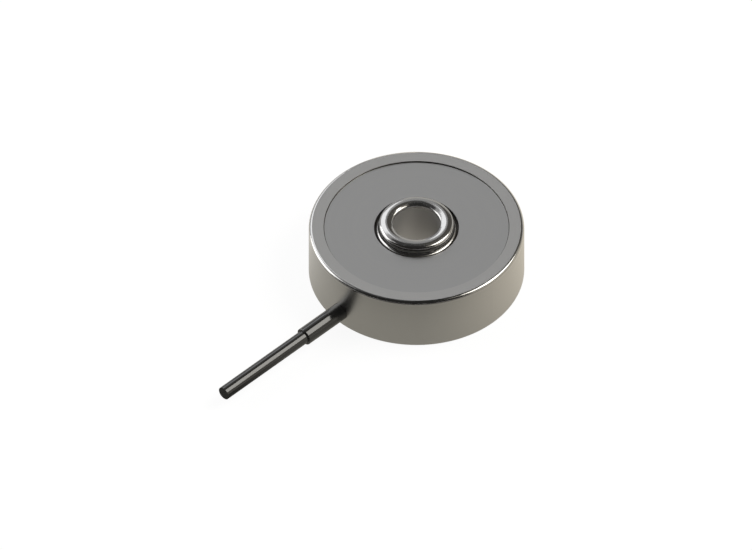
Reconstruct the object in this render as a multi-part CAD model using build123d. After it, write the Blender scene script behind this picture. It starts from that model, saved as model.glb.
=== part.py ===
from build123d import *
import math
import os

# Ring force sensor with a through bore. Its body is turned from one bar of
# stainless steel: a thick outer ring that stands on the machine, a stiff
# diaphragm, and a hub with a rounded crown that takes the load. Foil gauges
# on both faces of the diaphragm feel it bend. Thin covers close both sides
# and a short cable leaves through the wall.
# Sizes are millimetres. The origin is the centre of the base plane, on the
# axis of the bore. +Z runs up the bore and the cable leaves along -Y.

# Measuring body
body_diameter = 50.0
body_height = 14.0
top_edge_round = 0.75
edge_break = 0.2
bore_diameter = 11.0
stem_diameter = 18.0
stem_lift = 0.5
diaphragm_thickness = 3.0
root_round = 0.8
wall_thickness = 5.0
board_shoulder = 1.8
lower_gauge_room = 1.6
upper_gauge_room = 0.9
top_ledge = 1.0

# Hub: it ends in a low dome, and its rounded foot lies below the top cover's face
hub_diameter = 17.35
crown_rise = 1.735
crown_dome = 0.455
crown_outer_round = 0.7
crown_inner_round = 0.5
hub_root_round = 0.75
hub_foot_land = 0.05
hub_foot_drop = 0.5

# Covers
rim_width = 3.45
top_cover_clearance = 1.175
top_cover_recess = 0.3
top_cover_thickness = 0.4
base_cover_clearance = 0.7
base_cover_thickness = 0.6
base_cover_recess = 0.4
base_cover_break = 0.15
weld_leg = 0.15
seam_break = 0.1
cover_fit = 0.02

# Soft seal rings between hub and covers
seal_width = 1.2
seal_setback = 0.55
base_seal_lip = 0.3
base_seal_flange = 0.7

# Foil strain gauges, laid along the ring on both faces of the diaphragm
gauge_count = 4
first_gauge_angle = 45.0
gauge_gap = 0.3
grid_lines = 4
grid_pitch = 0.5
grid_line_width = 0.28
grid_angle = 40.0
end_loop_length = 0.35
tab_length = 1.6
tab_width = 0.7
backing_margin = 0.35
backing_thickness = 0.08
foil_thickness = 0.04

# Flat ribbon leads from the gauges to the terminal board
lead_width = 0.4
lead_thickness = 0.1
lead_bend = 0.25
lead_spacing = 0.8
lead_hole_diameter = 1.6
lead_hole_gap = 0.6
lead_jog = 1.0

# Terminal board
board_thickness = 0.8
board_fit = 0.1
board_stem_gap = 1.4
pad_size = 0.6
pad_thickness = 0.05

# Trimming resistors under the board
resistor_count = 6
resistor_arc = 140.0
resistor_length = 2.0
resistor_width = 1.25
resistor_height = 0.5
resistor_cap = 0.4
resistor_cap_step = 0.05

# Cable, its sleeve and what anchors it inside
cable_diameter = 3.2
cable_reach = 38.2
sleeve_diameter = 4.2
sleeve_reach = 12.0
sleeve_seat = 4.0
sleeve_edge_break = 0.1
cable_hole_fit = 0.05
potting_diameter = 5.2
potting_depth = 1.2
braid_wall = 0.2
braid_overhang = 0.3
ferrule_wall = 0.4
ferrule_length = 3.0

# Insulated cores of the cable
core_diameter = 0.8
core_pitch = 1.1
core_pad_size = 0.9
core_pad_setback = 1.3
core_pad_pitch = 1.3
core_bend = 0.6

# Radii of the turned parts
body_radius = body_diameter / 2
bore_radius = bore_diameter / 2
hub_radius = hub_diameter / 2
stem_radius = stem_diameter / 2
cover_radius = body_radius - rim_width
top_room_radius = cover_radius - top_ledge
room_radius = body_radius - wall_thickness
pocket_radius = room_radius - board_shoulder
crown_middle = (hub_radius + bore_radius) / 2
hub_foot_radius = hub_radius + hub_root_round + hub_foot_land
top_cover_bore = hub_radius + top_cover_clearance
base_cover_bore = stem_radius + base_cover_clearance
board_outer = room_radius - board_fit
board_inner = stem_radius + board_stem_gap

# Heights, from the base plane up
base_ledge_z = base_cover_recess + base_cover_thickness
top_cover_z = body_height - top_cover_recess
top_ledge_z = top_cover_z - top_cover_thickness
upper_face_z = top_ledge_z - upper_gauge_room
lower_face_z = upper_face_z - diaphragm_thickness
shoulder_z = lower_face_z - lower_gauge_room
board_z = shoulder_z - board_thickness
cable_z = (base_ledge_z + board_z) / 2
hub_foot_z = top_cover_z - hub_foot_drop
crown_top_z = body_height + crown_rise
crown_edge_z = crown_top_z - crown_dome
middle_z = (upper_face_z + lower_face_z) / 2

# Places of the gauges and of their leads, out from the axis
seal_inner = top_cover_bore + seal_setback
seal_outer = seal_inner + seal_width
backing_inner = seal_outer + gauge_gap
first_line_radius = backing_inner + backing_margin + grid_line_width / 2
last_line_radius = first_line_radius + (grid_lines - 1) * grid_pitch
grid_inner = first_line_radius - grid_line_width / 2
grid_outer = last_line_radius + grid_line_width / 2
backing_outer = grid_outer + backing_margin
grid_middle = (grid_inner + grid_outer) / 2
lead_hole_radius = lead_hole_diameter / 2


def arc_angle(length, radius):
    """Degrees that a length takes up along a circle."""
    return math.degrees(length / radius)


tab_start_angle = grid_angle / 2 + arc_angle(end_loop_length, grid_middle)
tab_end_angle = tab_start_angle + arc_angle(tab_length, grid_middle)
tab_middle_angle = (tab_start_angle + tab_end_angle) / 2
tab_to_hole = tab_length / 2 + backing_margin + lead_hole_gap + lead_hole_radius
gauge_angles = [
    first_gauge_angle + number * 360 / gauge_count for number in range(gauge_count)
]

# Stations along the cable, measured out from the axis
cable_end = body_radius + cable_reach
sleeve_end = body_radius + sleeve_reach
sleeve_root = body_radius - sleeve_seat
ferrule_end = room_radius - potting_depth
jacket_root = ferrule_end - ferrule_length - braid_overhang

cable_radius = cable_diameter / 2
braid_radius = cable_radius + braid_wall
core_radius = core_diameter / 2


def turned(*points):
    """A ring turned about the Z axis from an outline of (radius, height) points."""
    outline = Plane.XZ * make_face(Polyline(*points, close=True))
    return revolve(outline, Axis.Z)


def cable_bar(radius, near, far):
    """A round bar on the cable's axis, between two distances from the sensor's axis."""
    start = Plane(origin=(0, -near, cable_z), x_dir=(1, 0, 0), z_dir=(0, -1, 0))
    return extrude(start * Circle(radius), far - near)


# Measuring body
def body_blank():
    """The turned body before its holes are drilled, with its low domed crown."""
    corners = [
        ((bore_radius, stem_lift + edge_break), 0),
        ((bore_radius + edge_break, stem_lift), 0),
        ((stem_radius - edge_break, stem_lift), 0),
        ((stem_radius, stem_lift + edge_break), 0),
        ((stem_radius, lower_face_z), root_round),
        ((pocket_radius, lower_face_z), 0),
        ((pocket_radius, shoulder_z), 0),
        ((room_radius, shoulder_z), 0),
        ((room_radius, base_ledge_z), 0),
        ((cover_radius, base_ledge_z), 0),
        ((cover_radius, seam_break), 0),
        ((cover_radius + seam_break, 0), 0),
        ((body_radius - edge_break, 0), 0),
        ((body_radius, edge_break), 0),
        ((body_radius, body_height), top_edge_round),
        ((cover_radius, body_height), 0),
        ((cover_radius, top_ledge_z), 0),
        ((top_room_radius, top_ledge_z), 0),
        ((top_room_radius, upper_face_z), 0),
        ((hub_foot_radius, upper_face_z), 0),
        ((hub_foot_radius, hub_foot_z), 0),
        ((hub_radius, hub_foot_z), hub_root_round),
    ]
    inner_edge = (bore_radius, crown_edge_z)
    outer_edge = (hub_radius, crown_edge_z)
    places = [inner_edge, *(place for place, _ in corners), outer_edge]
    sides = FilletPolyline(*places, radius=[rounding for _, rounding in corners])
    crown = ThreePointArc(outer_edge, (crown_middle, crown_top_z), inner_edge)
    outline = make_face(sides + crown)
    for edge, rounding in ((inner_edge, crown_inner_round), (outer_edge, crown_outer_round)):
        outline = fillet(outline.vertices().sort_by_distance(edge)[0], rounding)
    return revolve(Plane.XZ * outline, Axis.Z)


def lead_holes():
    """Four holes that take the upper gauges' leads down through the diaphragm."""
    drill = Cylinder(lead_hole_radius, diaphragm_thickness + 2 * root_round)
    place = Pos(grid_middle, tab_to_hole, middle_z)
    return [Rot(0, 0, angle + tab_middle_angle) * place * drill for angle in gauge_angles]


def measuring_body():
    """The steel body with its stepped cable hole and its lead holes."""
    sleeve_hole = cable_bar(sleeve_diameter / 2, sleeve_root, body_radius + 1)
    cable_hole = cable_bar(cable_radius + cable_hole_fit, ferrule_end, sleeve_root)
    return body_blank() - [sleeve_hole, cable_hole, *lead_holes()]


# Covers
def top_cover():
    """The disc that closes the top, a little below the rim, with its weld bead round it."""
    outer = cover_radius - cover_fit
    return turned(
        (top_cover_bore, top_ledge_z),
        (outer, top_ledge_z),
        (outer, top_cover_z + weld_leg),
        (outer - weld_leg, top_cover_z),
        (top_cover_bore, top_cover_z),
    )


def base_cover():
    """The disc that closes the underside, sunk clear of what the sensor stands on."""
    outer = cover_radius - cover_fit
    inner = base_cover_bore
    return turned(
        (inner, base_ledge_z),
        (outer, base_ledge_z),
        (outer, base_cover_recess + seam_break),
        (outer - seam_break, base_cover_recess),
        (inner + base_cover_break, base_cover_recess),
        (inner, base_cover_recess + base_cover_break),
    )


# Seal rings
def top_seal():
    """A soft ring round the hub's foot, squeezed between the diaphragm and the cover."""
    return turned(
        (seal_inner, upper_face_z),
        (seal_outer, upper_face_z),
        (seal_outer, top_ledge_z),
        (seal_inner, top_ledge_z),
    )


def base_seal():
    """A soft flanged ring that fills the gap between the stem and the base cover."""
    flange = base_cover_bore + seal_width
    return turned(
        (stem_radius, base_ledge_z - base_seal_lip),
        (base_cover_bore, base_ledge_z - base_seal_lip),
        (base_cover_bore, base_ledge_z),
        (flange, base_ledge_z),
        (flange, base_ledge_z + base_seal_flange),
        (stem_radius, base_ledge_z + base_seal_flange),
    )


# Strain gauges
def arc_bar(inner, outer, low, high, start, end):
    """A bar of rectangular section bent round the axis, between two angles."""
    width = outer - inner
    height = high - low
    section = Plane.XZ * Pos(inner + width / 2, low + height / 2) * Rectangle(width, height)
    return Rot(0, 0, start) * revolve(section, Axis.Z, end - start)


def foil_bar(inner, outer, start, end):
    """A strip of the etched foil on top of a gauge's backing."""
    low = upper_face_z + backing_thickness
    return arc_bar(inner, outer, low, low + foil_thickness, start, end)


def gauge_backing():
    """The film that carries the foil."""
    margin = arc_angle(backing_margin, grid_middle)
    return arc_bar(
        backing_inner,
        backing_outer,
        upper_face_z,
        upper_face_z + backing_thickness,
        -grid_angle / 2 - margin,
        tab_end_angle + margin,
    )


def gauge_foil():
    """One long line folded back and forth, with a solder tab at each of its ends."""
    half = grid_angle / 2
    loop = arc_angle(end_loop_length, grid_middle)
    pieces = []
    for line in range(grid_lines):
        inner = first_line_radius + line * grid_pitch - grid_line_width / 2
        outer = inner + grid_line_width
        to_tab = line in (0, grid_lines - 1)
        pieces.append(foil_bar(inner, outer, -half, tab_start_angle if to_tab else half))
        if line < grid_lines - 1:
            start, end = (-half, loop - half) if line % 2 == 0 else (half - loop, half)
            pieces.append(foil_bar(inner, outer + grid_pitch, start, end))
    pieces.append(foil_bar(grid_inner, grid_inner + tab_width, tab_start_angle, tab_end_angle))
    pieces.append(foil_bar(grid_outer - tab_width, grid_outer, tab_start_angle, tab_end_angle))
    return pieces


def strain_gauges():
    """Equal gauges on the upper and the lower face of the diaphragm, in two sets."""
    upper = gauge_backing() + gauge_foil()
    lower = mirror(upper, about=Plane.XY.offset(middle_z))
    gauges = {}
    for number, angle in enumerate(gauge_angles, start=1):
        gauges[f"strain_gauge_top_{number}"] = Rot(0, 0, angle) * upper
        gauges[f"strain_gauge_bottom_{number}"] = Rot(0, 0, angle) * lower
    return gauges


# Gauge leads
def ribbon(start, end, bridge_z, start_z, end_z):
    """A flat ribbon that rises or drops to its bridge height, crosses and goes down."""
    path = FilletPolyline(
        (*start, start_z), (*start, bridge_z), (*end, bridge_z), (*end, end_z), radius=lead_bend
    )
    across = (end[1] - start[1], start[0] - end[0], 0)
    section = Plane(origin=path @ 0, x_dir=across, z_dir=path % 0)
    return sweep(section * Rectangle(lead_width, lead_thickness), path=path)


def lead_places():
    """For each lead: its tab's radius, its place in the lead hole, and a lower gauge's pad."""
    places = []
    for letter, side in (("a", -1), ("b", 1)):
        reach = grid_middle + side * (grid_outer - grid_inner - tab_width) / 2
        hole_place = (grid_middle + side * lead_spacing / 2, tab_to_hole)
        places.append((letter, reach, hole_place, (reach + lead_jog, 0)))
    return places


def gauge_leads():
    """Two fine ribbons from each gauge's tabs to its pads on the terminal board."""
    tab_height = backing_thickness + foil_thickness
    low_tab_z = lower_face_z - tab_height
    pad_z = shoulder_z + pad_thickness
    jog_z = (low_tab_z + pad_z) / 2
    bridge_z = upper_face_z + upper_gauge_room / 2
    leads = {}
    for letter, reach, hole_place, board_place in lead_places():
        upper = ribbon((reach, 0), hole_place, bridge_z, upper_face_z + tab_height, pad_z)
        lower = ribbon((reach, 0), board_place, jog_z, low_tab_z, pad_z)
        for number, angle in enumerate(gauge_angles, start=1):
            turn = Rot(0, 0, angle + tab_middle_angle)
            leads[f"top_gauge_{number}_lead_{letter}"] = turn * upper
            leads[f"bottom_gauge_{number}_lead_{letter}"] = turn * lower
    return leads


# Terminal board
def pad(size, x, y, low):
    """A square solder pad."""
    return Pos(x, y, low + pad_thickness / 2) * Box(size, size, pad_thickness)


def core_places():
    """For each core of the cable: its x and height, and the y of its pad on the board."""
    half = core_pitch / 2
    near_pad = core_pad_setback - jacket_root
    rows = ((cable_z + half, near_pad), (cable_z - half, near_pad + core_pad_pitch))
    return [(side * half, z, pad_y) for z, pad_y in rows for side in (-1, 1)]


def terminal_board():
    """The ring board that is bonded against the shoulder under the diaphragm."""
    board = turned(
        (board_inner, board_z),
        (board_outer, board_z),
        (board_outer, shoulder_z),
        (board_inner, shoulder_z),
    )
    low = board_z - pad_thickness
    pads = [pad(core_pad_size, x, pad_y, low) for x, _, pad_y in core_places()]
    for _, _, hole_place, board_place in lead_places():
        for angle in gauge_angles:
            turn = Rot(0, 0, angle + tab_middle_angle)
            pads.append(turn * pad(pad_size, *hole_place, shoulder_z))
            pads.append(turn * pad(pad_size, *board_place, shoulder_z))
    return board + pads


# Trimming resistors
def resistor_angles():
    """Directions of the resistors, spread over the half that lies across from the cable."""
    first = 90 - resistor_arc / 2
    step = resistor_arc / (resistor_count - 1)
    return [first + number * step for number in range(resistor_count)]


def trim_resistors():
    """Chip resistors soldered flat under the board, with a metal cap on each end."""
    chip = Box(resistor_length, resistor_width, resistor_height - resistor_cap_step)
    cap = Box(resistor_cap, resistor_width + resistor_cap_step, resistor_height)
    reach = (resistor_length - resistor_cap) / 2
    resistor = chip + [Pos(reach, 0, 0) * cap, Pos(-reach, 0, 0) * cap]
    board_middle = (board_outer + board_inner) / 2
    place = Pos(board_middle, 0, board_z - resistor_height / 2) * Rot(0, 0, 90)
    return {
        f"trim_resistor_{number}": Rot(0, 0, angle) * place * resistor
        for number, angle in enumerate(resistor_angles(), start=1)
    }


# Cable and what is on it
def cable():
    """The jacketed cable, one straight run from its clamp to its cut end."""
    length = cable_end - jacket_root
    print(f"cable: one straight run of {length:.1f} mm, no bends")
    return cable_bar(cable_radius, jacket_root, cable_end)


def cable_sleeve():
    """The stiff sleeve that is pressed into the wall and guides the cable out."""
    sleeve = cable_bar(sleeve_diameter / 2, sleeve_root, sleeve_end)
    rim = sleeve.edges().filter_by(GeomType.CIRCLE).sort_by(Axis.Y)[0]
    return chamfer(rim, sleeve_edge_break) - cable_bar(cable_radius, sleeve_root, sleeve_end)


def entry_potting():
    """A collar of resin that seals the cable to the inside of the wall."""
    collar = cable_bar(potting_diameter / 2, ferrule_end, body_radius)
    room = Pos(0, 0, cable_z) * Cylinder(room_radius, board_z - base_ledge_z)
    return (collar & room) - cable_bar(cable_radius, ferrule_end, body_radius)


def shield_braid():
    """The braid folded back over the jacket, where the ferrule clamps it."""
    braid = cable_bar(braid_radius, jacket_root, ferrule_end)
    return braid - cable_bar(cable_radius, jacket_root, ferrule_end)


def crimp_ferrule():
    """The crimped hexagonal ferrule that keeps the cable from pulling out."""
    start = Plane(origin=(0, -ferrule_end, cable_z), x_dir=(1, 0, 0), z_dir=(0, 1, 0))
    hexagon = RegularPolygon(braid_radius + ferrule_wall, 6, major_radius=False)
    crimped = extrude(start * hexagon, ferrule_length)
    return crimped - cable_bar(braid_radius, ferrule_end - ferrule_length, ferrule_end)


def core_wires():
    """Four insulated cores that run on from the jacket and turn up to the board."""
    pad_z = board_z - pad_thickness
    cores = {}
    for number, (x, z, pad_y) in enumerate(core_places(), start=1):
        path = FilletPolyline(
            (x, -jacket_root, z), (x, pad_y, z), (x, pad_y, pad_z), radius=core_bend
        )
        start = Plane(origin=path @ 0, z_dir=path % 0)
        cores[f"core_wire_{number}"] = sweep(start * Circle(core_radius), path=path)
    return cores


parts = {
    "measuring_body": measuring_body(),
    "top_cover": top_cover(),
    "base_cover": base_cover(),
    "top_seal": top_seal(),
    "base_seal": base_seal(),
    "terminal_board": terminal_board(),
    "cable": cable(),
    "cable_sleeve": cable_sleeve(),
    "entry_potting": entry_potting(),
    "shield_braid": shield_braid(),
    "crimp_ferrule": crimp_ferrule(),
    **strain_gauges(),
    **gauge_leads(),
    **trim_resistors(),
    **core_wires(),
}

os.makedirs("parts", exist_ok=True)
for name, part in parts.items():
    export_step(part, f"parts/{name}.step")
    print(f"{name}: {part.volume:.2f} mm3")
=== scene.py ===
import math

import bpy
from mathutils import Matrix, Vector


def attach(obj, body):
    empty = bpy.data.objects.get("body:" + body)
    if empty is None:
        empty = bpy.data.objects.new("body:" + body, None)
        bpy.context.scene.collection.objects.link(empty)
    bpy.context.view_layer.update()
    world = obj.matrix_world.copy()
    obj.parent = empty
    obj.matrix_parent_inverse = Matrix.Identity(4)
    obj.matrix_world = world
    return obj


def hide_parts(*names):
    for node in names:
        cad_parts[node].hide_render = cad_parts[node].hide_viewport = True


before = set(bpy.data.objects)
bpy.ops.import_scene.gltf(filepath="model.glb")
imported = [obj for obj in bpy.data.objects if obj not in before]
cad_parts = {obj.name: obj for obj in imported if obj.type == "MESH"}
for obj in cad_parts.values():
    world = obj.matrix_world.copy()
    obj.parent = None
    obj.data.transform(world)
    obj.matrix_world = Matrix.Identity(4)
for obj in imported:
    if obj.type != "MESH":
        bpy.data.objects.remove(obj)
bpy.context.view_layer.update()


# Measuring body: one piece turned from a bar of stainless steel, with fine rings
# round its axis. The crown, the hub's foot and the rim's round are polished, the
# bore and the hub's wall are left satin, and the closed room is blasted dull. The
# closed room and the foot's edge are also darkened in colour as painted shade.
def feed(tree, node, inputs):
    """Puts a value or a link on each named input of a node."""
    for socket, value in inputs.items():
        if isinstance(value, bpy.types.NodeSocket):
            tree.links.new(value, node.inputs[socket])
        else:
            node.inputs[socket].default_value = value


def add(tree, kind, inputs=None, **settings):
    """A new node with its settings and its inputs."""
    made = tree.nodes.new(kind)
    for setting, value in settings.items():
        setattr(made, setting, value)
    feed(tree, made, inputs or {})
    return made


def calc(tree, operation, first, second=0.0):
    """The result of one sum on two values or sockets."""
    return add(tree, "ShaderNodeMath", {0: first, 1: second}, operation=operation).outputs[0]


def ramp(tree, value, start, end, low, high):
    """A value that goes smoothly from low to high as another goes from start to end."""
    spans = {0: value, 1: start, 2: end, 3: low, 4: high}
    return add(tree, "ShaderNodeMapRange", spans, interpolation_type="SMOOTHSTEP").outputs[0]


def past(tree, value, edge, blur):
    """A mask that is 0 before an edge and 1 past it."""
    return ramp(tree, value, edge - blur, edge + blur, 0.0, 1.0)


def short_of(tree, value, edge, blur):
    """A mask that is 1 before an edge and 0 past it."""
    return ramp(tree, value, edge - blur, edge + blur, 1.0, 0.0)


def both(tree, first, second):
    """A mask that is 1 where two masks are."""
    return calc(tree, "MULTIPLY", first, second)


def either(tree, first, second):
    """A mask that is 1 where one of two masks is."""
    return calc(tree, "MAXIMUM", first, second)


def rest_of(tree, mask):
    """A mask that is 1 where another is 0."""
    return calc(tree, "SUBTRACT", 1.0, mask)


def blend(tree, mask, first, second):
    """One value where the mask is 0 and another where it is 1."""
    values = {0: mask, 2: first, 3: second}
    return add(tree, "ShaderNodeMix", values, data_type="FLOAT").outputs[0]


def tint(tree, mask, first, second):
    """One colour where the mask is 0 and another where it is 1."""
    inputs = {0: mask}
    for end, colour in ((6, first), (7, second)):
        inputs[end] = (*colour, 1) if isinstance(colour, tuple) else colour
    return add(tree, "ShaderNodeMix", inputs, data_type="RGBA").outputs[2]


def noise(tree, place, scale, detail):
    """Smooth noise in space, for grain, clouds and wear."""
    inputs = {"Vector": place, "Scale": scale, "Detail": detail}
    return add(tree, "ShaderNodeTexNoise", inputs).outputs[0]


def vary(tree, grain, low, high):
    """A value that wanders from low to high with a noise."""
    grain_low, grain_high = 0.3, 0.7
    return ramp(tree, grain, grain_low, grain_high, low, high)


def material(name, colour, roughness, metallic=0.0, gloss=0.5):
    """A new finish, with the values that are the same all over on its own shader."""
    made = bpy.data.materials.new(name)
    made.use_nodes = True
    tree = made.node_tree
    shader = tree.nodes["Principled BSDF"]
    all_over = {
        "Base Color": (*colour, 1),
        "Roughness": roughness,
        "Metallic": metallic,
        "Specular IOR Level": gloss,
    }
    feed(tree, shader, all_over)
    place = tree.nodes.new("ShaderNodeTexCoord").outputs["Object"]
    return made, tree, shader, place


def relief(tree, shader, height, depth):
    """A bump of a real depth in metres on a shader."""
    bump = add(tree, "ShaderNodeBump", {"Height": height, "Distance": depth})
    feed(tree, shader, {"Normal": bump.outputs["Normal"]})


def dress(finish, *nodes):
    """Gives CAD nodes a finish in place of their plain colour."""
    for node in nodes:
        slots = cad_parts[node].data.materials
        slots.clear()
        slots.append(finish)


def node_group(name, kind, inputs, outputs):
    """An empty node group: its tree, both its ends and what its inputs are known by."""
    tree = bpy.data.node_groups.new(name, kind)
    known_by = {}
    for socket, value_kind in inputs.items():
        made = tree.interface.new_socket(socket, in_out="INPUT", socket_type=value_kind)
        known_by[socket] = made.identifier
    for socket, value_kind in outputs.items():
        tree.interface.new_socket(socket, in_out="OUTPUT", socket_type=value_kind)
    given = tree.nodes.new("NodeGroupInput").outputs
    result = tree.nodes.new("NodeGroupOutput")
    return tree, given, result, known_by


# what the lathe leaves: rings round the axis that follow radius and height
marks_tree, given, result, _ = node_group(
    "turning_marks",
    "ShaderNodeTree",
    {"Place": "NodeSocketVector", "Ring Width": "NodeSocketFloat"},
    {mark: "NodeSocketFloat" for mark in ("Radius", "Height", "Rings", "Haze")},
)
axes = add(marks_tree, "ShaderNodeSeparateXYZ", {0: given["Place"]}).outputs
x_squared = calc(marks_tree, "POWER", axes[0], 2.0)
y_squared = calc(marks_tree, "POWER", axes[1], 2.0)
radius = calc(marks_tree, "SQRT", calc(marks_tree, "ADD", x_squared, y_squared))
rings_out = calc(marks_tree, "DIVIDE", radius, given["Ring Width"])
rings_up = calc(marks_tree, "DIVIDE", axes[2], given["Ring Width"])
along = add(marks_tree, "ShaderNodeCombineXYZ", {0: rings_out, 1: rings_up}).outputs[0]
cut = {"Vector": along, "Scale": 1.0, "Detail": 3.0}
rings = add(marks_tree, "ShaderNodeTexNoise", cut, noise_dimensions="2D").outputs[0]
haze = noise(marks_tree, given["Place"], scale=90.0, detail=4.0)
feed(marks_tree, result, {"Radius": radius, "Height": axes[2], "Rings": rings, "Haze": haze})


def turning_marks(tree, place, ring_width):
    """The lathe's marks at a place: its radius, its height, the rings and a haze."""
    given = {"Place": place, "Ring Width": ring_width}
    return add(tree, "ShaderNodeGroup", given, node_tree=marks_tree).outputs


def turned_steel(name, colour, ring_width, smooth, rough):
    """Stainless steel as the lathe leaves it, between two roughnesses."""
    finish, tree, shader, place = material(name, colour, smooth, metallic=1.0)
    marks = turning_marks(tree, place, ring_width)
    wear, rings_weight, haze_weight, least, most = 0.98, 0.6, 0.4, 0.1, 0.9
    shade = vary(tree, marks["Rings"], 0.0, 1.0)
    worn = tuple(wear * part for part in colour)
    feed(tree, shader, {"Base Color": tint(tree, shade, worn, colour)})
    rings_share = calc(tree, "MULTIPLY", shade, rings_weight)
    haze_share = calc(tree, "MULTIPLY", marks["Haze"], haze_weight)
    mixed = calc(tree, "ADD", rings_share, haze_share)
    return finish, tree, shader, marks, ramp(tree, mixed, least, most, smooth, rough)


body_steel, tree, shader, marks, satin = turned_steel(
    "body_steel", (0.555, 0.55, 0.541), ring_width=0.00016, smooth=0.30, rough=0.37
)
blur, fine_blur, finest_blur = 0.0001, 0.00005, 0.00002

# heights and radii, in metres, between which crown, foot and rim are polished
foot_floor, foot_top, crown_start, rim_start = 0.0130, 0.0139, 0.01462, 0.0132
bore_wall, hub_reach, rim_inner = 0.0056, 0.0097, 0.0242
on_crown = past(tree, marks["Height"], crown_start, blur)
above_room = ramp(tree, marks["Height"], foot_floor - blur, foot_floor + fine_blur, 0.0, 1.0)
below_wall = short_of(tree, marks["Height"], foot_top, blur)
off_bore = past(tree, marks["Radius"], bore_wall, blur)
near_hub = short_of(tree, marks["Radius"], hub_reach, blur)
on_foot = both(tree, both(tree, above_room, below_wall), both(tree, off_bore, near_hub))
near_top = past(tree, marks["Height"], rim_start, blur)
on_rim = both(tree, near_top, past(tree, marks["Radius"], rim_inner, fine_blur))
polished = either(tree, either(tree, on_crown, on_foot), on_rim)

# the foot's edge and the closed room below it are out of the polisher's reach, so they are left
# matt; their colour is darkened as painted shade
foot_edge, room_outer = 0.00913, 0.0213
past_foot = past(tree, marks["Radius"], foot_edge, finest_blur)
off_wall = short_of(tree, marks["Radius"], room_outer, fine_blur)
on_edge = both(tree, both(tree, above_room, near_hub), past_foot)
in_room = both(tree, both(tree, rest_of(tree, above_room), off_wall), past_foot)
unpolished = either(tree, on_edge, in_room)

# painted shade: the foot's edge is painted near black and the closed room dark grey, as shade
# in the gap and under the cover
room_shade_colour, foot_edge_shade_colour = (0.17, 0.165, 0.155), (0.05, 0.047, 0.043)
bright = shader.inputs["Base Color"].links[0].from_socket
room_shaded = tint(tree, in_room, bright, room_shade_colour)
bored_roughness, blasted_roughness, bored_metallic = 0.5, 0.5, 0.84
haze_low, haze_high = 0.2, 0.8
polish_smooth, polish_rough, foot_dulling = 0.11, 0.14, 0.07
in_bore = rest_of(tree, off_bore)
hub_wall = both(tree, rest_of(tree, below_wall), near_hub)
turned = blend(tree, either(tree, in_bore, hub_wall), satin, bored_roughness)
mirror = ramp(tree, marks["Haze"], haze_low, haze_high, polish_smooth, polish_rough)
buffed = calc(tree, "ADD", mirror, calc(tree, "MULTIPLY", on_foot, foot_dulling))
smoothed = blend(tree, polished, turned, buffed)
body_finish = {
    "Base Color": tint(tree, on_edge, room_shaded, foot_edge_shade_colour),
    "Metallic": ramp(tree, in_bore, 0.0, 1.0, 1.0, bored_metallic),
    "Roughness": blend(tree, unpolished, smoothed, blasted_roughness),
}
feed(tree, shader, body_finish)
cut_depth = calc(tree, "MULTIPLY", marks["Rings"], rest_of(tree, polished))
relief(tree, shader, cut_depth, depth=0.0000004)
dress(body_steel, "measuring_body")


# Covers: two thin discs of the same steel, ground flat, laid on their ledges and
# welded round the edge. The upper one lies a little below the rim, the lower one
# is sunk so that the sensor stands on its outer ring alone.
cover_steel, tree, shader, marks, satin = turned_steel(
    "cover_steel", (0.49, 0.49, 0.488), ring_width=0.00022, smooth=0.33, rough=0.36
)
weld_inner, weld_foot, weld_blur = 0.02138, 0.01371, 0.00001
weld_colour, weld_roughness = (0.06, 0.056, 0.052), 0.6
at_edge = past(tree, marks["Radius"], weld_inner, weld_blur)
weld = both(tree, at_edge, past(tree, marks["Height"], weld_foot, weld_blur))
ground = shader.inputs["Base Color"].links[0].from_socket
cover_finish = {
    "Base Color": tint(tree, weld, ground, weld_colour),
    "Roughness": either(tree, satin, calc(tree, "MULTIPLY", weld, weld_roughness)),
}
feed(tree, shader, cover_finish)
relief(tree, shader, marks["Rings"], depth=0.00000005)
dress(cover_steel, "top_cover", "base_cover")


# Seal rings: soft moulded silicone. The upper one is squeezed between diaphragm
# and cover round the hub's foot, the lower one fills the gap between the stem and
# its cover. They keep out dust and water without carrying any of the load.
silicone, tree, shader, place = material(
    "silicone_rubber", (0.055, 0.056, 0.06), roughness=0.55, gloss=0.4
)
bloom = noise(tree, place, scale=1400.0, detail=3.0)
silicone_finish = {
    "Base Color": tint(tree, bloom, (0.045, 0.046, 0.05), (0.07, 0.071, 0.075)),
    "Roughness": vary(tree, bloom, low=0.48, high=0.62),
}
feed(tree, shader, silicone_finish)
relief(tree, shader, bloom, depth=0.000004)
dress(silicone, "top_seal", "base_seal")


# Strain gauges: an etched foil line, folded back and forth, on an amber film
# that is glued to the diaphragm. Four lie on its upper face, four on its lower.
gauge_faces, gauge_numbers = ("top", "bottom"), range(1, 5)
diaphragm_middle, film_reach, foil_blur = 0.0109, 0.0015805, 0.000002
gauge_foil, tree, shader, place = material(
    "gauge_foil_on_film", (0.60, 0.52, 0.42), roughness=0.3
)
height = add(tree, "ShaderNodeSeparateXYZ", {0: place}).outputs[2]
from_middle = calc(tree, "ABSOLUTE", calc(tree, "SUBTRACT", height, diaphragm_middle))
foil = ramp(tree, from_middle, film_reach, film_reach + foil_blur, 0.0, 1.0)
grain = noise(tree, place, scale=5000.0, detail=2.0)
amber = tint(tree, grain, (0.42, 0.20, 0.035), (0.52, 0.27, 0.06))
etched = tint(tree, grain, (0.62, 0.53, 0.43), (0.72, 0.64, 0.54))
gauge_finish = {
    "Base Color": tint(tree, foil, amber, etched),
    "Metallic": foil,
    "Roughness": vary(tree, grain, low=0.24, high=0.36),
}
feed(tree, shader, gauge_finish)
relief(tree, shader, grain, depth=0.000001)
for face in gauge_faces:
    dress(gauge_foil, *[f"strain_gauge_{face}_{number}" for number in gauge_numbers])


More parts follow.
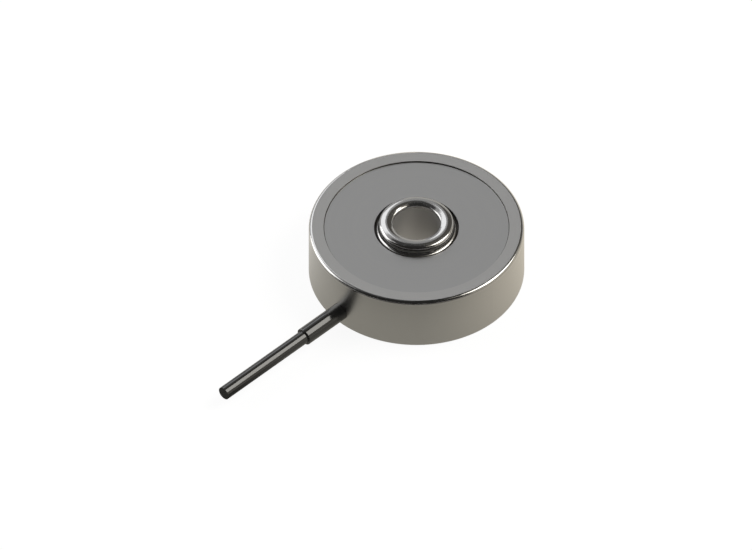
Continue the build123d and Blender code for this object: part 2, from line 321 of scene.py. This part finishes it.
# Gauge leads: flat copper ribbons under a thin red enamel, bared and tinned
# where they are soldered. The upper ones drop through holes in the diaphragm.
tin_end, enamel_start = 0.00815, 0.0083
tin_colour, enamel_metallic = (0.66, 0.65, 0.62), 0.35
lead_enamel, tree, shader, place = material(
    "enamelled_ribbon", (0.50, 0.13, 0.05), roughness=0.3
)
height = add(tree, "ShaderNodeSeparateXYZ", {0: place}).outputs[2]
tinned = ramp(tree, height, tin_end, enamel_start, 1.0, 0.0)
run = noise(tree, place, scale=2500.0, detail=2.0)
enamel = tint(tree, run, (0.42, 0.09, 0.035), (0.56, 0.17, 0.07))
lead_finish = {
    "Base Color": tint(tree, tinned, enamel, tin_colour),
    "Metallic": ramp(tree, tinned, 0.0, 1.0, enamel_metallic, 1.0),
    "Roughness": vary(tree, run, low=0.22, high=0.34),
}
feed(tree, shader, lead_finish)
for face in gauge_faces:
    for side in "ab":
        leads = [f"{face}_gauge_{number}_lead_{side}" for number in gauge_numbers]
        dress(lead_enamel, *leads)


# Terminal board: a ring of glass-fibre laminate under green lacquer, with a
# tinned pad for every lead and core. It is bonded under the diaphragm.
board_middle, half_board = 0.0074, 0.0004
board_inner, board_outer = 0.0104, 0.0199
pad_rise, pad_blur = 0.000005, 0.000001
sawn_depth, sawn_blur = 0.00002, 0.00001
pad_colour, sawn_colour = (0.68, 0.67, 0.63), (0.42, 0.38, 0.17)
cloth_scale, lacquer_roughness, sawn_roughness = 800.0, 0.28, 0.7
laminate, tree, shader, place = material("board_laminate", (0.03, 0.20, 0.08), roughness=0.3)
marks = turning_marks(tree, place, ring_width=0.0002)
from_middle = calc(tree, "ABSOLUTE", calc(tree, "SUBTRACT", marks["Height"], board_middle))
pad = past(tree, from_middle, half_board + pad_rise, pad_blur)
outer_edge = past(tree, marks["Radius"], board_outer - sawn_depth, sawn_blur)
inner_edge = short_of(tree, marks["Radius"], board_inner + sawn_depth, sawn_blur)
sawn = either(tree, outer_edge, inner_edge)
threads = {"Vector": place, "Scale": cloth_scale}
warp = add(tree, "ShaderNodeTexWave", threads, bands_direction="X").outputs[1]
weft = add(tree, "ShaderNodeTexWave", threads, bands_direction="Y").outputs[1]
cloth = calc(tree, "MULTIPLY", calc(tree, "ADD", warp, weft), 0.5)
lacquer = tint(tree, cloth, (0.012, 0.13, 0.045), (0.02, 0.19, 0.07))
board_finish = {
    "Base Color": tint(tree, pad, tint(tree, sawn, lacquer, sawn_colour), pad_colour),
    "Metallic": pad,
    "Roughness": ramp(tree, sawn, 0.0, 1.0, lacquer_roughness, sawn_roughness),
}
feed(tree, shader, board_finish)
relief(tree, shader, cloth, depth=0.000006)
dress(laminate, "terminal_board")


# Solder joints: every lead and core ends in a small bright cone of tin, drawn
# up the metal as it froze. They are soldered by hand, one after another.
gauge_angles = [math.radians(45 + 90 * turn) for turn in range(4)]
tab_middle_angle = math.radians(25.015)
tab_a, tab_b = (0.0126, 0.0), (0.01368, 0.0)
hole_a, hole_b = (0.01274, 0.00255), (0.01354, 0.00255)
drop_a, drop_b = (0.0136, 0.0), (0.01468, 0.0)
upper_tab_z, lower_tab_z, lead_pad_z, core_pad_z = 0.01252, 0.00928, 0.00785, 0.00695
core_pads = [(x, y) for x in (-0.00055, 0.00055) for y in (-0.0142, -0.0129)]
lead_foot, core_foot = 0.00027, 0.00043
stands, hangs_down = 0.0, 1.0

joints = []
for gauge_angle in gauge_angles:
    turn = gauge_angle + tab_middle_angle
    for tab, hole, drop in ((tab_a, hole_a, drop_a), (tab_b, hole_b, drop_b)):
        spots = (
            (tab, upper_tab_z, stands),
            (tab, lower_tab_z, hangs_down),
            (hole, lead_pad_z, stands),
            (drop, lead_pad_z, stands),
        )
        for (x, y), z, hangs in spots:
            turned_x = x * math.cos(turn) - y * math.sin(turn)
            turned_y = x * math.sin(turn) + y * math.cos(turn)
            joints.append(((turned_x, turned_y, z), lead_foot, hangs))
for x, y in core_pads:
    joints.append(((x, y, core_pad_z), core_foot, hangs_down))

joint_points = bpy.data.meshes.new("solder_joints")
joint_points.from_pydata([place for place, _, _ in joints], [], [])
for attribute, column in (("foot", 1), ("hangs", 2)):
    layer = joint_points.attributes.new(attribute, "FLOAT", "POINT")
    layer.data.foreach_set("value", [joint[column] for joint in joints])
solder_joints = bpy.data.objects.new("solder_joints", joint_points)
bpy.context.scene.collection.objects.link(solder_joints)

tin, tree, shader, place = material(
    "soldered_tin", (0.72, 0.71, 0.68), roughness=0.2, metallic=1.0
)
frost = noise(tree, place, scale=6000.0, detail=3.0)
feed(tree, shader, {"Roughness": vary(tree, frost, low=0.14, high=0.32)})
relief(tree, shader, frost, depth=0.000002)

tree, given, result, known_by = node_group(
    "solder_cones",
    "GeometryNodeTree",
    {
        "Geometry": "NodeSocketGeometry",
        "Tip Width": "NodeSocketFloat",
        "Height": "NodeSocketFloat",
    },
    {"Geometry": "NodeSocketGeometry"},
)
tip_width, cone_height, waist_depth = 0.45, 0.8, 1.1
cone_shape = {
    "Vertices": 14,
    "Side Segments": 4,
    "Radius Top": given["Tip Width"],
    "Radius Bottom": 1.0,
    "Depth": given["Height"],
}
cone = add(tree, "GeometryNodeMeshCone", cone_shape).outputs["Mesh"]
spot = tree.nodes.new("GeometryNodeInputPosition").outputs[0]
axes = add(tree, "ShaderNodeSeparateXYZ", {0: spot}).outputs
climb = calc(tree, "DIVIDE", axes[2], given["Height"])
waist = calc(tree, "MULTIPLY", climb, calc(tree, "SUBTRACT", 1.0, climb))
narrow = calc(tree, "SUBTRACT", 1.0, calc(tree, "MULTIPLY", waist, waist_depth))
drawn_in = {
    0: calc(tree, "MULTIPLY", axes[0], narrow),
    1: calc(tree, "MULTIPLY", axes[1], narrow),
    2: axes[2],
}
drawn = {"Geometry": cone, "Position": add(tree, "ShaderNodeCombineXYZ", drawn_in).outputs[0]}
drawn_cone = add(tree, "GeometryNodeSetPosition", drawn).outputs[0]
foot, hangs = (
    add(tree, "GeometryNodeInputNamedAttribute", {"Name": name}, data_type="FLOAT").outputs[0]
    for name in ("foot", "hangs")
)
turned_over = add(tree, "ShaderNodeCombineXYZ", {0: calc(tree, "MULTIPLY", hangs, math.pi)})
placing = {
    "Points": given["Geometry"],
    "Instance": drawn_cone,
    "Rotation": turned_over.outputs[0],
    "Scale": foot,
}
placed = add(tree, "GeometryNodeInstanceOnPoints", placing).outputs[0]
real = add(tree, "GeometryNodeRealizeInstances", {"Geometry": placed}).outputs[0]
shading = {"Geometry": real, "Shade Smooth": True}
smooth = add(tree, "GeometryNodeSetShadeSmooth", shading).outputs[0]
tinned_cones = add(tree, "GeometryNodeSetMaterial", {"Geometry": smooth, "Material": tin})
feed(tree, result, {"Geometry": tinned_cones.outputs[0]})

maker = solder_joints.modifiers.new("solder_cones", "NODES")
maker.node_group = tree
maker[known_by["Tip Width"]] = tip_width
maker[known_by["Height"]] = cone_height
evaluated = solder_joints.evaluated_get(bpy.context.evaluated_depsgraph_get())
solder_joints.data = bpy.data.meshes.new_from_object(evaluated)
solder_joints.modifiers.clear()
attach(solder_joints, "root")


# Trimming resistors: six ceramic chips that set the zero and the span, with a
# dark glaze over the track and a tinned cap on each end. They hang under the
# board on the side across from the cable.
first_chip, chip_step = math.radians(20), math.radians(28)
cap_start, cap_blur, cap_colour = 0.0006, 0.00001, (0.70, 0.69, 0.66)
chip, tree, shader, place = material("resistor_chip", (0.03, 0.03, 0.034), roughness=0.3)
axes = add(tree, "ShaderNodeSeparateXYZ", {0: place}).outputs
turn = calc(tree, "ARCTAN2", axes[1], axes[0])
steps = calc(tree, "DIVIDE", calc(tree, "SUBTRACT", turn, first_chip), chip_step)
off_step = calc(tree, "SUBTRACT", steps, calc(tree, "ROUND", steps))
off_angle = calc(tree, "ABSOLUTE", calc(tree, "MULTIPLY", off_step, chip_step))
off_middle = calc(tree, "MULTIPLY", off_angle, (board_inner + board_outer) / 2)
cap = past(tree, off_middle, cap_start, cap_blur)
speck = noise(tree, place, scale=5000.0, detail=2.0)
glaze = tint(tree, speck, (0.018, 0.018, 0.022), (0.05, 0.05, 0.056))
chip_finish = {
    "Base Color": tint(tree, cap, glaze, cap_colour),
    "Metallic": cap,
    "Roughness": vary(tree, speck, low=0.25, high=0.4),
}
feed(tree, shader, chip_finish)
dress(chip, *[f"trim_resistor_{number}" for number in range(1, 7)])


# Cable: four cores in a round black jacket, 3.2 mm thick, extruded smooth and
# glossy. It leaves the wall level and straight, and is cut off square.
cable_radius, cable_height = 0.0016, 0.004
jacket_root, wall_face, cut_end = 0.0155, 0.025, 0.0632
line = bpy.data.curves.new("cable_jacket", "CURVE")
line.dimensions = "3D"
line.bevel_depth = cable_radius
line.bevel_resolution = 10
line.use_fill_caps = True
line.resolution_u = 6
stations = (jacket_root, 0.0225, wall_face, 0.037, 0.047, 0.056, cut_end)
path = line.splines.new("NURBS")
path.points.add(len(stations) - 1)
for point, station in zip(path.points, stations):
    point.co = (0, -station, cable_height, 1)
path.order_u = 3
path.use_endpoint_u = True
cable_jacket = bpy.data.objects.new("cable_jacket", line)
bpy.context.scene.collection.objects.link(cable_jacket)


def extruded(name, colour, smooth, rough, gloss=0.5):
    """A glossy extruded plastic with faint lines along it."""
    along_scale, lightening, least, most = 0.02, 1.25, 0.25, 0.75
    finish, tree, shader, place = material(name, colour, smooth, gloss=gloss)
    drawn_out = {"Vector": place, "Scale": (1.0, along_scale, 1.0)}
    stretch = add(tree, "ShaderNodeMapping", drawn_out).outputs[0]
    drag = noise(tree, stretch, scale=3000.0, detail=2.0)
    cloud = noise(tree, place, scale=180.0, detail=3.0)
    lighter = tuple(lightening * part for part in colour)
    plastic_finish = {
        "Base Color": tint(tree, cloud, colour, lighter),
        "Roughness": ramp(tree, drag, least, most, smooth, rough),
    }
    feed(tree, shader, plastic_finish)
    relief(tree, shader, drag, depth=0.0000006)
    return finish


jacket_colour = (0.0165, 0.016, 0.015)
jacket = extruded("cable_jacket_plastic", jacket_colour, smooth=0.08, rough=0.12, gloss=0.9)
line.materials.append(jacket)
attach(cable_jacket, "root")
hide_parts("cable")


# Cable sleeve: a hard black tube that is pressed into the wall. It holds the
# cable where it leaves the body, so that it can't be bent at the hole.
sleeve_colour = (0.015, 0.0148, 0.0142)
sleeve_plastic = extruded("sleeve_plastic", sleeve_colour, smooth=0.08, rough=0.11, gloss=0.9)
dress(sleeve_plastic, "cable_sleeve")


# Entry potting: a collar of honey-brown resin, poured round the cable inside
# the wall. It seals the hole.
resin, tree, shader, place = material("potting_resin", (0.20, 0.10, 0.03), roughness=0.16)
cloud = noise(tree, place, scale=900.0, detail=4.0)
resin_finish = {
    "Base Color": tint(tree, cloud, (0.15, 0.07, 0.02), (0.27, 0.14, 0.045)),
    "Roughness": vary(tree, cloud, low=0.12, high=0.22),
    "Coat Weight": 0.4,
}
feed(tree, shader, resin_finish)
relief(tree, shader, cloud, depth=0.00001)
dress(resin, "entry_potting")


# Shield braid and ferrule: tinned copper braid is folded back over the jacket
# and clamped there by a crimped hexagonal brass ferrule, so that a pull on the
# cable never reaches the solder.
strands_round, strands_along, gap_end, strand_start = 8.0, 6200.0, -0.4, 0.6
gap_colour, strand_colour = (0.16, 0.155, 0.145), (0.72, 0.71, 0.68)
braid, tree, shader, place = material(
    "tinned_braid", (0.62, 0.61, 0.58), roughness=0.3, metallic=1.0
)
from_cable = {0: place, 1: (0, 0, cable_height)}
level = add(tree, "ShaderNodeVectorMath", from_cable, operation="SUBTRACT").outputs[0]
axes = add(tree, "ShaderNodeSeparateXYZ", {0: level}).outputs
turn = calc(tree, "MULTIPLY", calc(tree, "ARCTAN2", axes[0], axes[2]), strands_round)
run = calc(tree, "MULTIPLY", axes[1], strands_along)
over = calc(tree, "SINE", calc(tree, "ADD", turn, run))
under = calc(tree, "SINE", calc(tree, "SUBTRACT", turn, run))
plait = calc(tree, "MAXIMUM", over, under)
strand = ramp(tree, plait, gap_end, strand_start, 0.0, 1.0)
feed(tree, shader, {"Base Color": tint(tree, strand, gap_colour, strand_colour)})
relief(tree, shader, plait, depth=0.00002)
dress(braid, "shield_braid")

brass, tree, shader, place = material(
    "ferrule_brass", (0.72, 0.52, 0.24), roughness=0.26, metallic=1.0
)
scuff = noise(tree, place, scale=1600.0, detail=4.0)
brass_finish = {
    "Base Color": tint(tree, scuff, (0.60, 0.41, 0.17), (0.80, 0.60, 0.30)),
    "Roughness": vary(tree, scuff, low=0.2, high=0.36),
}
feed(tree, shader, brass_finish)
relief(tree, shader, scuff, depth=0.000004)
dress(brass, "crimp_ferrule")


# Core wires: four stranded copper cores in red, black, green and white
# insulation. They run on from the jacket and turn up to the board.
core_colours = {
    "red": (0.45, 0.012, 0.012),
    "black": (0.015, 0.015, 0.016),
    "green": (0.012, 0.20, 0.045),
    "white": (0.68, 0.67, 0.64),
}
for number, (word, colour) in enumerate(core_colours.items(), start=1):
    insulation = extruded(f"{word}_insulation", colour, smooth=0.28, rough=0.38)
    dress(insulation, f"core_wire_{number}")


# Studio: a pale floor with hardly a shadow, two soft boxes and a white surround.
# A dome of dark, grey and bright cards stands round the sensor. Only reflections
# see it, and it gives the steel what it mirrors in the photograph.
view_azimuth, view_elevation = 45.0, 45.0


def direction(across, up):
    """A direction by its angle to the right of the camera's and its angle above the floor."""
    turn, rise = math.radians(view_azimuth + across), math.radians(up)
    level = math.cos(rise)
    return Vector((math.sin(turn) * level, -math.cos(turn) * level, math.sin(rise)))


def aim(thing, place, target=(0, 0, 0)):
    """Turns a lamp or the camera to face a place."""
    thing.location = place
    thing.rotation_mode = "QUATERNION"
    thing.rotation_quaternion = (Vector(target) - Vector(place)).to_track_quat("-Z", "Y")


def card(name, left, right, low, high, colour):
    """Part of a large dome round the sensor, between angles in degrees, that shines evenly."""
    steps, distance = 12, 6.0
    row_length, width, height = steps + 1, right - left, high - low
    corners = [
        direction(left + width * column / steps, low + height * row / steps) * distance
        for row in range(row_length)
        for column in range(row_length)
    ]
    starts = [row * row_length + column for row in range(steps) for column in range(steps)]
    faces = [(start, start + 1, start + row_length + 1, start + row_length) for start in starts]
    sheet = bpy.data.meshes.new(name)
    sheet.from_pydata(corners, [], faces)
    shine = bpy.data.materials.new(name)
    shine.use_nodes = True
    shine.node_tree.nodes.clear()
    glow = add(shine.node_tree, "ShaderNodeEmission", {"Color": (*colour, 1)}).outputs[0]
    add(shine.node_tree, "ShaderNodeOutputMaterial", {"Surface": glow})
    sheet.materials.append(shine)
    thing = bpy.data.objects.new(name, sheet)
    bpy.context.scene.collection.objects.link(thing)
    thing.visible_camera = False
    thing.visible_diffuse = False
    thing.visible_transmission = False
    thing.visible_shadow = False


card("dark_card_front", -82, 52, 2, 90, (0.026, 0.025, 0.024))
card("dark_card_above", 52, 278, 74, 90, (0.035, 0.035, 0.035))
card("grey_card_right", 52, 128, 2, 74, (0.45, 0.42, 0.365))
card("dim_card_right", 128, 172, 25, 74, (0.10, 0.095, 0.085))
card("grey_card_low_behind", 128, 186, 2, 25, (0.56, 0.55, 0.52))
card("grey_card_behind", 172, 186, 25, 52, (0.40, 0.40, 0.40))
card("dim_card_behind", 172, 186, 52, 74, (0.09, 0.09, 0.09))
card("bright_card_left_back", 186, 219, 24, 52, (1.45, 1.47, 1.5))
card("grey_card_low_left_back", 186, 233, 2, 24, (0.40, 0.40, 0.41))
card("grey_card_left_back", 219, 245, 24, 52, (0.7, 0.7, 0.72))
card("grey_card_above_left", 186, 262, 52, 59, (0.45, 0.45, 0.45))
card("dark_card_left", 186, 278, 59, 74, (0.06, 0.06, 0.06))
card("grey_card_low_left", 233, 278, 2, 24, (0.5, 0.5, 0.5))
card("grey_card_left", 245, 278, 24, 52, (0.45, 0.45, 0.45))


def soft_box(name, across, up, distance, size, watts, colour):
    """A rectangular lamp that shines evenly and faces the sensor."""
    light = bpy.data.lights.new(name, "AREA")
    light.shape = "RECTANGLE"
    light.size, light.size_y = size
    light.energy = watts
    light.color = colour
    thing = bpy.data.objects.new(name, light)
    bpy.context.scene.collection.objects.link(thing)
    aim(thing, direction(across, up) * distance)
    thing.visible_camera = False


soft_box(
    "right_soft_box",
    across=95,
    up=49.5,
    distance=0.8,
    size=(0.52, 0.50),
    watts=3.0,
    colour=(1.0, 0.98, 0.92),
)
soft_box(
    "left_soft_box",
    across=-107,
    up=22,
    distance=0.9,
    size=(0.68, 0.72),
    watts=2.85,
    colour=(0.99, 0.99, 0.98),
)

floor_reach, floor_drop = 3.0, 0.00002
floor_signs = ((-1, -1), (1, -1), (1, 1), (-1, 1))
floor_corners = [(x * floor_reach, y * floor_reach, -floor_drop) for x, y in floor_signs]
floor_sheet = bpy.data.meshes.new("floor")
floor_sheet.from_pydata(floor_corners, [], [(0, 1, 2, 3)])
floor = bpy.data.objects.new("floor", floor_sheet)
bpy.context.scene.collection.objects.link(floor)

# painted light and shade: the floor glows as the steel mirrors it, dark far ahead and brighter
# to both sides
near_end, far_start = 0.0345, 0.060
near_floor, far_floor = (0.388, 0.372, 0.327), (0.045, 0.043, 0.04)
right_floor, left_floor = (1.08, 0.99, 0.83), (0.835, 0.805, 0.742)
right_bend, left_bend, most_share, side_blend = 0.78, 2.0, 0.6, 0.15
pale = bpy.data.materials.new("pale_floor")
pale.use_nodes = True
tree = pale.node_tree
tree.nodes.clear()
place = tree.nodes.new("ShaderNodeTexCoord").outputs["Object"]
on_right = {0: place, 1: direction(90, 0)}
on_front = {0: place, 1: direction(0, 0)}
to_right = add(tree, "ShaderNodeVectorMath", on_right, operation="DOT_PRODUCT").outputs["Value"]
to_front = add(tree, "ShaderNodeVectorMath", on_front, operation="DOT_PRODUCT").outputs["Value"]
far = add(tree, "ShaderNodeVectorMath", {0: place}, operation="LENGTH").outputs["Value"]
ahead = tint(tree, ramp(tree, far, near_end, far_start, 0.0, 1.0), near_floor, far_floor)
spread = calc(tree, "SUBTRACT", 1.0, calc(tree, "DIVIDE", to_front, far))
right_share = calc(tree, "MULTIPLY", calc(tree, "POWER", spread, right_bend), most_share)
left_share = calc(tree, "MULTIPLY", calc(tree, "POWER", spread, left_bend), most_share)
right_side = tint(tree, right_share, ahead, right_floor)
left_side = tint(tree, left_share, ahead, left_floor)
to_side = past(tree, calc(tree, "DIVIDE", to_right, far), 0.0, side_blend)
beside = tint(tree, to_side, left_side, right_side)

# painted light and shade: inside the bore the mirrored floor glows brighter towards the right
# and the back
bore_inner, bore_outer, bore_slope, bore_blend = 0.006, 0.008, 60.0, 0.35
dim_bore, bright_bore = (0.19, 0.178, 0.156), (0.72, 0.675, 0.60)
bore_right = calc(tree, "MULTIPLY", to_right, bore_slope)
bore_front = calc(tree, "MULTIPLY", to_front, bore_slope)
bore_lit = past(tree, calc(tree, "SUBTRACT", bore_right, bore_front), 0.0, bore_blend)
bore_floor = tint(tree, bore_lit, dim_bore, bright_bore)
under_bore = ramp(tree, far, bore_inner, bore_outer, 1.0, 0.0)
mirrored_colour = tint(tree, under_bore, beside, bore_floor)
# the painted glow that reflections see in place of the lit and shaded floor
mirrored = add(tree, "ShaderNodeEmission", {"Color": mirrored_colour}).outputs[0]

# the camera sees the floor almost white, and light that isn't mirrored meets it matt
rays = tree.nodes.new("ShaderNodeLightPath").outputs
matt = add(tree, "ShaderNodeBsdfDiffuse", {"Color": (0.8, 0.8, 0.8, 1)}).outputs[0]
thin = add(tree, "ShaderNodeBsdfDiffuse", {"Color": (0.14, 0.14, 0.14, 1)}).outputs[0]
white_glow = {"Color": (1, 1, 1, 1), "Strength": 0.90}
lift = add(tree, "ShaderNodeEmission", white_glow).outputs[0]
seen = add(tree, "ShaderNodeAddShader", {0: thin, 1: lift}).outputs[0]
off_camera = {0: rays["Is Glossy Ray"], 1: matt, 2: mirrored}
unseen = add(tree, "ShaderNodeMixShader", off_camera).outputs[0]
surface = add(tree, "ShaderNodeMixShader", {0: rays["Is Camera Ray"], 1: unseen, 2: seen})
add(tree, "ShaderNodeOutputMaterial", {"Surface": surface.outputs[0]})
floor_sheet.materials.append(pale)

# the surround is white where it is seen and dimmer where it only lights
lighting_strength, seen_strength = 0.45, 1.0
surround = bpy.data.worlds.new("surround")
bpy.context.scene.world = surround
surround.use_nodes = True
tree = surround.node_tree
tree.nodes.clear()
rays = tree.nodes.new("ShaderNodeLightPath").outputs
direct = calc(tree, "MAXIMUM", rays["Is Camera Ray"], rays["Is Glossy Ray"])
seen_white = calc(tree, "MAXIMUM", direct, rays["Is Transmission Ray"])
strength = ramp(tree, seen_white, 0.0, 1.0, lighting_strength, seen_strength)
even_white = {"Color": (1, 1, 1, 1), "Strength": strength}
white = add(tree, "ShaderNodeBackground", even_white).outputs[0]
add(tree, "ShaderNodeOutputWorld", {"Surface": white})

# the camera looks down without perspective, and the sensor lies some pixels off the middle
photo_width, pixels_right, pixels_up = 752, 40.5, 5.6
view_width, camera_distance = 0.17437, 0.5
pixel = view_width / photo_width
camera_data = bpy.data.cameras.new("camera")
camera_data.type = "ORTHO"
camera_data.ortho_scale = view_width
camera_data.clip_start, camera_data.clip_end = 0.01, 10.0
camera = bpy.data.objects.new("camera", camera_data)
bpy.context.scene.collection.objects.link(camera)
backwards, rightwards = direction(0, view_elevation), direction(90, 0)
upwards = backwards.cross(rightwards)
centre = -pixels_right * pixel * rightwards - pixels_up * pixel * upwards
aim(camera, centre + camera_distance * backwards, centre)
bpy.context.scene.camera = camera
bpy.context.scene.view_settings.view_transform = "Standard"
